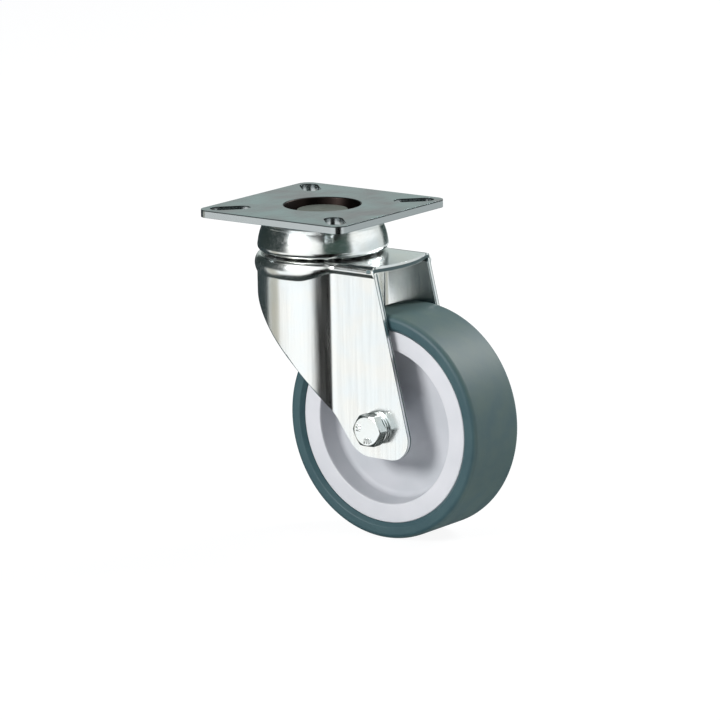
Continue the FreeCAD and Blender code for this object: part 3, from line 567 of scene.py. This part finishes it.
def fork_patches():
    """The sheet's outer skin in three grids, with s running round the plan.

    Skirt with legs: plan(s) at height brow(s) + (foot(s) - brow(s)) t. Shoulder: plan(s) moved out by
    out(t) and sunk by sink(t) times its depth, a quarter round that swells past the skirt and runs
    back to it. Top with its crown: rays r(t) (cos a, sin a) at height z(t), on to the shoulder.
    """
    border = leg_border()
    last = int(np.argmax(border[:, 0]))
    low, high = border[:last + 1], border[last:][::-1]
    lean = (high[1, 0] - REAR_X) / (FORK_TOP - high[1, 1])
    rear_foot = REAR_X + LEG_SHOULDER * lean
    # The leg's columns stand on the border's own points. Only close behind the heel are they dense.
    marks = np.sort(np.concatenate([low[:, 0], np.linspace(17, rear_foot, 8)]))
    room = np.where(marks > marks[-1] - 2.5, 0.01, 0.25)[:-1]
    marks = marks[np.append(np.diff(marks) > room, True) | (marks == rear_foot)]
    far, far_ways = half_plan(marks)
    path = np.concatenate([far[::-1], (far * (1, -1))[1:]])
    ways = np.concatenate([far_ways[::-1], (far_ways * (1, -1))[1:]])
    foot = np.interp(path[:, 0], low[:, 0], low[:, 1])
    # The shoulder is deeper round the head's front, and gets there smoothly.
    front = np.clip((-path[:, 0] / HEAD_R + 0.75) / 0.5, 0, 1)
    deep = LEG_SHOULDER + (HEAD_SHOULDER - LEG_SHOULDER) * front * front * (3 - 2 * front)
    brow = np.minimum(FORK_TOP - deep, np.interp(path[:, 0], high[:, 0], high[:, 1]))
    down = np.linspace(0, 1, 10)[:, None]
    skirt = np.stack([np.broadcast_to(path[:, 0], (10, len(path))),
                      np.broadcast_to(path[:, 1], (10, len(path))), brow + (foot - brow) * down], -1)
    over = path[:, 0] <= rear_foot
    top_path, top_ways = path[over], ways[over]
    turn = np.linspace(0, math.pi / 2, 10)[:, None, None]
    rise = np.linspace(0, 1, 7)[1:, None, None]
    out = np.concatenate([BULGE - SHOULDER_IN * (1 - np.sin(turn)), BULGE * np.cos(rise * math.pi / 2)])
    ring = top_path + out * top_ways
    sink = np.concatenate([(1 - NECK_SHARE) * (1 - np.cos(turn)), 1 - NECK_SHARE * (1 - rise)])
    sink = sink * deep[over][:, None]
    # The shoulder stops at the legs' rear border, which leans.
    ring[..., :1] = np.minimum(ring[..., :1], REAR_X + lean * sink)
    shoulder = np.concatenate([ring, FORK_TOP - sink], -1)
    inset = shoulder[0, :, :2]
    # The top's rear edge is an arc about the swivel axis, from one end of the shoulder to the other.
    end = math.atan2(*inset[-1][::-1])
    rear_turn = np.linspace(end, -end, 18)[1:-1]
    rear = REAR_R * np.stack([np.cos(rear_turn), np.sin(rear_turn)], 1)
    edge = np.concatenate([inset, rear])
    around = np.arctan2(edge[:, 1], edge[:, 0])
    ray = np.stack([np.cos(around), np.sin(around)], 1)
    crown = outline([(CROWN_HOLE_R, CROWN_TOP), (CROWN_FLAT_R, CROWN_TOP), (*CROWN_FLANK, CROWN_ROUND),
                     (CROWN_FOOT_R, FORK_TOP)])
    rows = [np.column_stack([ray * r, np.full(len(ray), z)]) for r, z in crown]
    for share in (0.3, 0.65, 1.0):
        flat = ray * CROWN_FOOT_R * (1 - share) + edge * share
        rows.append(np.column_stack([flat, np.full(len(flat), FORK_TOP)]))
    return [(skirt, grid_faces(*skirt.shape[:2])), (shoulder, grid_faces(*shoulder.shape[:2])),
            (np.stack(rows), grid_faces(len(rows), len(ray), False, True))]


def tear_cut_edges(material):
    """Blanking shears the outer part of each cut edge bright and tears the inner part, which stays
    rough and grey under the zinc. The burr is a thin dark line along the outer corner of the legs and
    along the front border of the head.
    """
    tree = material.node_tree
    spot = add_node(tree, "ShaderNodeTexCoord").outputs["Object"]
    place = add_node(tree, "ShaderNodeSeparateXYZ", None, {0: spot})
    wide = add_node(tree, "ShaderNodeMath", {"operation": "ABSOLUTE"}, {0: place.outputs["Y"]}).outputs[0]
    plan = add_node(tree, "ShaderNodeCombineXYZ", None, {0: place.outputs["X"], 1: place.outputs["Y"]})
    radius = add_node(tree, "ShaderNodeVectorMath", {"operation": "LENGTH"}, {0: plan.outputs[0]})
    leg = between(tree, place.outputs["X"], LEG_FRONT, LEG_REAR)
    inside = LEG_OUT - FORK_THICK
    rear_under = FORK_TOP - FORK_THICK
    masks = []
    # The burr, by its distance from the two straight runs that the front border is near.
    for start, end in ((BROW, BEND_START), (BEND_START, BEND_END)):
        down = np.array(end) - start
        across = np.array((-down[1], 0, down[0])) / np.linalg.norm(down)
        from_edge = add_node(tree, "ShaderNodeVectorMath", {"operation": "DOT_PRODUCT"}, {0: spot, 1: across})
        border = across @ (start[0], 0, start[1])
        masks.append(add_node(tree, "ShaderNodeMath", {"operation": "MULTIPLY"}, {
            0: between(tree, from_edge.outputs["Value"], border - 1, border + BURR),
            1: between(tree, place.outputs["X"], start[0] - 1, end[0])}).outputs[0])
    # The torn part and the burr across the legs' edges, and the torn part of the top's rear edge.
    rear = between(tree, radius.outputs["Value"], REAR_R - 0.3, REAR_R + 1)
    for value, low, high, where in (
            (wide, inside + TORN_FROM, inside + TORN, leg),
            (wide, LEG_OUT - BURR, LEG_OUT - 0.06, leg),
            (place.outputs["Z"], rear_under + 0.05, rear_under + TORN_REAR, rear)):
        masks.append(add_node(tree, "ShaderNodeMath", {"operation": "MULTIPLY"}, {
            0: between(tree, value, low, high), 1: where}).outputs[0])
    torn = masks[0]
    for mask in masks[1:]:
        torn = add_node(tree, "ShaderNodeMath", {"operation": "MAXIMUM"}, {0: torn, 1: mask}).outputs[0]
    cover(tree, torn, TORN_COLOUR, 0.5)


fork_zinc = bright_zinc("bright_zinc_on_fork", (1, 1, 30), "e8edee", "ecedea", rough=(0.18, 0.28))
tear_cut_edges(fork_zinc)
build_piece("fork_sheet", fork_patches(), fork_zinc, "fork", ["fork"], 0.4, 4, FORK_THICK)


# Ball rings and lower race: hardened chrome steel balls in grease, above and below the fork's
# crown, and a turned ring that the rivet's foot holds. They run inside and keep their CAD meshes.
def ball_steel():
    """Polished bearing steel, mirror bright under a thin film of grease that blurs it in patches."""
    material, tree, shader, place = new_surface("polished_ball_steel")
    grease = noise(tree, place, 2.0)
    tree.links.new(blend_range(tree, grease, 0.4, 0.7, 0.06, 0.22), shader.inputs["Roughness"])
    tree.links.new(blend_range(tree, grease, 0.4, 0.7, "c6c8ca", "b3b1a4"), shader.inputs["Base Color"])
    shader.inputs["Metallic"].default_value = 1.0
    return material


def dress_node(node, material):
    """Gives a CAD node that stays in the scene its material."""
    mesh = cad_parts[node].data
    mesh.materials.clear()
    mesh.materials.append(material)


ball_finish = ball_steel()
dress_node("upper_balls", ball_finish)
dress_node("lower_balls", ball_finish)
# The lower race takes the plate's zinc with its painted shade.
dress_node("lower_race", plate_zinc)


# Axle: an M6 hexagon bolt through both legs with a washer under its head, and on the far side a
# washer and a nut with a nylon ring. All are cold formed and zinc plated. A thin steel tube
# between the legs takes the clamping, so that the wheel turns free on it.
AXLE = (32.0, 0.0, -68.5)
BOLT_R, BOLT_HEAD, BOLT_TIP_R, BOLT_END, SEAT_Y = 3.0, 4.0, 1.8, 24.7, 16.7
HEX_HALF, HEX_CORNER, HEX_FACE_R, HEX_CHAMFER, HEX_STEPS = 5.0, 1.145, 4.8, math.radians(30), 192
THREAD_PITCH, THREAD_DEEP, THREAD_TIP, THREAD_ROW = 1.0, 0.55, 0.6, 0.08
NUT_BORE_R, NUT_HEX, NUT_HIGH, WASHER_R, WASHER_BORE_R, WASHER_THICK = 3.05, 4.4, 6.0, 5.5, 3.2, 1.2
COLLAR_R, COLLAR_TOP_R, COLLAR_IN_R, COLLAR_CHAMFER, COLLAR_DEEP = 4.5, 3.9, 3.6, 0.6, 1.25
MARK_R, MARK_WIDE, MARK_HIGH = 3.3, 0.38, 0.16
MARK_ANGLES, MARK_LENGTHS = (150, 166, 182, 258, 272, 286, 300), (1.5, 1.9, 1.5, 1.9, 1.5, 1.9, 1.5)


def hexagon_r(turn):
    """Distance from the axis to the hexagon's side: half / cos(angle from the side's middle).

    The corners stop at HEX_CORNER times the half, just short of sharp.
    """
    within = turn % (math.pi / 3) - math.pi / 6
    return np.minimum(HEX_HALF / np.cos(within), HEX_HALF * HEX_CORNER)


def around_axle(radii, along):
    """p(i, t) = axle + r(i, t) (cos t, 0, sin t) + (0, y(i, t), 0), for rows i along the axis."""
    turn = np.linspace(0, 2 * math.pi, HEX_STEPS, endpoint=False)
    rows = [np.stack([np.cos(turn) * r, np.zeros(HEX_STEPS) + y, np.sin(turn) * r], -1)
            for r, y in zip(radii, along)]
    return np.stack(rows) + np.array(AXLE), grid_faces(len(rows), HEX_STEPS, False, True)


def thread_rows(start, end):
    """A V thread: r = outer - deep |2 frac(y / pitch - t / 2 pi) - 1|, with a cone at its tip."""
    turn = np.linspace(0, 1, HEX_STEPS, endpoint=False)
    along = np.arange(start, end, THREAD_ROW)
    phase = (along[:, None] / THREAD_PITCH - turn) % 1.0
    ridge = BOLT_R - THREAD_DEEP * np.abs(2 * phase - 1)
    taper = THREAD_DEEP * 1.2
    cone = BOLT_R - taper + np.clip((end - along) / THREAD_TIP, 0, 1)[:, None] * taper
    return list(np.minimum(ridge, cone)), list(along)


def mark_patches(face):
    """Raised strokes in place of the head's stamp, in a group of 3 and one of 4: bars along radii.

    Each is corner = ray (MARK_R + length u) + across wide v, from inside the face to MARK_HIGH over it.
    """
    bars = []
    for angle, length in zip(MARK_ANGLES, MARK_LENGTHS):
        turn = math.radians(angle)
        ray = np.array((math.cos(turn), math.sin(turn)))
        across = np.array((-math.sin(turn), math.cos(turn)))
        corners = np.array([ray * (MARK_R + length * u) + across * MARK_WIDE * v
                            for u, v in ((-0.5, -0.5), (0.5, -0.5), (0.5, 0.5), (-0.5, 0.5))])
        foot, top = face + 0.1, face - MARK_HIGH
        rows = [np.column_stack([shape[:, 0], np.full(4, y), shape[:, 1]]) for shape, y in (
            (corners * 0 + corners.mean(0), foot), (corners, foot), (corners, top),
            (corners * 0 + corners.mean(0), top))]
        bars.append((np.stack(rows) + np.array(AXLE), grid_faces(4, 4, False, True)))
    return bars


hexagon = hexagon_r(np.linspace(0, 2 * math.pi, HEX_STEPS, endpoint=False))
corner_drop = (hexagon - HEX_FACE_R) * math.tan(HEX_CHAMFER)
head_face = -(SEAT_Y + BOLT_HEAD)
thread_r, thread_y = thread_rows(SEAT_Y + 1, BOLT_END)
bolt_zinc = bright_zinc("bright_zinc_on_bolt", (1, 1, 1))
build_piece("bolt", [around_axle(
    [0, HEX_FACE_R - 0.3, HEX_FACE_R, hexagon, hexagon, BOLT_R, BOLT_R] + thread_r + [BOLT_TIP_R, 0],
    [head_face, head_face, head_face + 0.02, head_face + corner_drop, -SEAT_Y, -SEAT_Y, SEAT_Y + 0.9]
    + thread_y + [BOLT_END, BOLT_END])], bolt_zinc, "fork", ["axle_bolt"], 0.12, 2)
build_piece("bolt_marks", mark_patches(head_face), bolt_zinc, "fork", [], 0.05, 2)

nut_top = SEAT_Y + NUT_HEX
nut_end = SEAT_Y + NUT_HIGH
nut_wall = around_axle(
    [NUT_BORE_R, hexagon, hexagon, HEX_FACE_R, COLLAR_R, COLLAR_R, COLLAR_TOP_R, COLLAR_IN_R,
     COLLAR_IN_R, NUT_BORE_R],
    [SEAT_Y, SEAT_Y, nut_top - corner_drop, nut_top, nut_top, nut_end - COLLAR_CHAMFER, nut_end,
     nut_end, nut_end - COLLAR_DEEP, nut_end - COLLAR_DEEP])
nut_bore = around_axle([NUT_BORE_R, NUT_BORE_R], [nut_end - COLLAR_DEEP, SEAT_Y])
build_piece("nut", [nut_wall, nut_bore], bolt_zinc, "fork", ["lock_nut"], 0.12, 2)
for name, side in (("bolt_washer", -1), ("nut_washer", 1)):
    inner_y = (SEAT_Y - WASHER_THICK) * side
    build_piece(name + "_ring", [turned(outline([
        (WASHER_BORE_R, inner_y), (WASHER_R, inner_y), (WASHER_R, SEAT_Y * side),
        (WASHER_BORE_R, SEAT_Y * side)], True), "y", AXLE)], bolt_zinc, "fork", [name], 0.15, 2)
dress_node("axle_tube", bolt_zinc)


def natural_nylon():
    """Unfilled polyamide as moulded: milky white with faint yellow clouds, and satin."""
    material, tree, shader, place = new_surface("natural_nylon")
    cloud = noise(tree, place, 2.5)
    tree.links.new(blend_range(tree, cloud, 0.3, 0.7, "e3e2da", "d6d4c8"), shader.inputs["Base Color"])
    tree.links.new(blend_range(tree, cloud, 0.3, 0.7, 0.35, 0.5), shader.inputs["Roughness"])
    shader.inputs["IOR"].default_value = 1.53
    return material


nylon = natural_nylon()
dress_node("nut_insert", nylon)


# Wheel centre: one polypropylene moulding with rim, thin dished web and hub, grey from the
# masterbatch. The rim's face is satin, and the recess comes duller from a spark-grained mould, with
# painted shade making its grey darker. Two flanged nylon bushes are pressed into the hub.
RIM_R, RIM_SIDE, RIM_IN, RIM_FOOT, KEY_DEEP, KEY_HALF, KEY_END = 32.3, 11.2, 26.1, 25.25, 1.3, 7.0, 8.0
WEB_HALF, WEB_ROUND, HUB_R, HUB_END, HUB_ROUND, BORE_R = 3.0, 2.0, 9.0, 12.4, 6.0, 5.6


def grey_polypropylene():
    """Moulded polypropylene, satin on the rim's face and duller in the recess, from the mould's spark
    grain; the recess's darker grey is painted shade. That grain is about 0.1 mm, too fine to show, so
    it is drawn 0.5 mm wide.
    """
    material, tree, shader, place = new_surface("grey_polypropylene")
    cloud = noise(tree, place, 12.0)
    grain = noise(tree, place, 0.5)
    sideways = add_node(tree, "ShaderNodeSeparateXYZ", None, {"Vector": place}).outputs["Y"]
    outward = add_node(tree, "ShaderNodeMath", {"operation": "ABSOLUTE"}, {0: sideways}).outputs[0]
    satin = add_node(tree, "ShaderNodeMapRange", {"interpolation_type": "SMOOTHSTEP"}, {
        "Value": outward, "From Min": (RIM_SIDE - 1.2) * MM, "From Max": (RIM_SIDE - 0.3) * MM}).outputs[0]
    # The recess's darker greys are painted shade; the face's lighter greys are the moulding's own.
    colour = add_node(tree, "ShaderNodeMix", {"data_type": "RGBA"}, {
        "Factor": satin, "A": blend_range(tree, cloud, 0.3, 0.7, "bcbfc3", "c5c6ca"),
        "B": blend_range(tree, cloud, 0.3, 0.7, "cdced1", "d5d5d8")}).outputs["Result"]
    tree.links.new(colour, shader.inputs["Base Color"])
    tree.links.new(blend_range(tree, satin, 0, 1, 0.6, 0.46), shader.inputs["Roughness"])
    shader.inputs["IOR"].default_value = 1.49
    bump = add_node(tree, "ShaderNodeBump", None, {
        "Height": grain, "Strength": 0.15, "Distance": 0.05 * MM})
    tree.links.new(bump.outputs[0], shader.inputs["Normal"])
    return material


def wheel_side(side):
    """The half outline of rim, recess, web and hub on one side of the wheel's middle plane."""
    return [(RIM_IN, RIM_SIDE * side), (RIM_FOOT, (WEB_HALF + WEB_ROUND) * side),
            (RIM_FOOT - WEB_ROUND, WEB_HALF * side, -WEB_ROUND * side),
            (HUB_R + HUB_ROUND, WEB_HALF * side),
            (HUB_R, (WEB_HALF + HUB_ROUND) * side, -HUB_ROUND * side), (HUB_R, HUB_END * side)]


def other_side(points):
    """The same run backwards, with each arc's radius on its new end point and turned the same way."""
    run = []
    for index in range(len(points) - 1, -1, -1):
        after = points[index + 1] if index + 1 < len(points) else ()
        spot = points[index][:2]
        run.append((*spot, -after[2]) if len(after) == 3 else spot)
    return run


seat = [(RIM_R, RIM_SIDE), (RIM_R, KEY_END), (RIM_R - KEY_DEEP, KEY_HALF),
        (RIM_R - KEY_DEEP, -KEY_HALF), (RIM_R, -KEY_END), (RIM_R, -RIM_SIDE)]
build_piece("wheel_moulding", [turned(outline(
    seat + wheel_side(-1) + [(BORE_R, -HUB_END), (BORE_R, HUB_END)] + other_side(wheel_side(1)), True),
    "y", AXLE, True, 192)], grey_polypropylene(), "wheel", ["wheel_centre"], 0.4)
dress_node("hub_bushes", nylon)


# Tyre: thermoplastic rubber moulded over the rim's keyed seat, blue-grey and non-marking. The
# sides come satin from the mould, and the tread is trued by grinding, so it is duller; its paler
# colour is painted light.
WHEEL_R, WHEEL_HALF, TREAD_EDGE, SIDE_IN_R = 37.5, 12.5, 1.9, 33.6


def blue_grey_rubber():
    """Soft rubber: satin on the moulded sides and dull on the tread, which grinding trues; the tread's
    paler colour is painted light. Its fine grain is under 0.1 mm, too fine to show, so it is drawn
    0.35 mm wide.
    """
    material, tree, shader, place = new_surface("blue_grey_rubber")
    from_axle = add_node(tree, "ShaderNodeMapping", None, {
        "Vector": place, "Location": [-AXLE[0] * MM, 0, -AXLE[2] * MM], "Scale": (1, 0, 1)})
    radius = add_node(tree, "ShaderNodeVectorMath", {"operation": "LENGTH"}, {0: from_axle.outputs[0]})
    tread = add_node(tree, "ShaderNodeMapRange", {"interpolation_type": "SMOOTHSTEP"}, {
        "Value": radius.outputs["Value"], "From Min": (WHEEL_R - 1.0) * MM,
        "From Max": (WHEEL_R - 0.1) * MM}).outputs[0]
    cloud = noise(tree, place, 7.0)
    grain = noise(tree, place, 0.35)
    side = blend_range(tree, cloud, 0.3, 0.7, "344f55", "3b565a")
    # The tread's paler colours are painted light.
    painted_tread_light = blend_range(tree, cloud, 0.3, 0.7, "4c6466", "566b67")
    colour = add_node(tree, "ShaderNodeMix", {"data_type": "RGBA"}, {
        "Factor": tread, "A": side, "B": painted_tread_light}).outputs["Result"]
    tree.links.new(colour, shader.inputs["Base Color"])
    tree.links.new(blend_range(tree, tread, 0, 1, 0.48, 0.54), shader.inputs["Roughness"])
    shader.inputs["IOR"].default_value = 1.5
    shader.inputs["Specular IOR Level"].default_value = 0.35
    bump = add_node(tree, "ShaderNodeBump", None, {
        "Height": grain, "Strength": 0.2, "Distance": 0.06 * MM})
    tree.links.new(bump.outputs[0], shader.inputs["Normal"])
    return material


build_piece("tyre_ring", [turned(outline(seat + [
    (SIDE_IN_R, -WHEEL_HALF), (WHEEL_R - TREAD_EDGE, -WHEEL_HALF),
    (WHEEL_R, TREAD_EDGE - WHEEL_HALF, TREAD_EDGE), (WHEEL_R, WHEEL_HALF - TREAD_EDGE),
    (WHEEL_R - TREAD_EDGE, WHEEL_HALF, TREAD_EDGE), (SIDE_IN_R, WHEEL_HALF)], True),
    "y", AXLE, True, 256)], blue_grey_rubber(), "wheel", ["tyre"], 0.25)
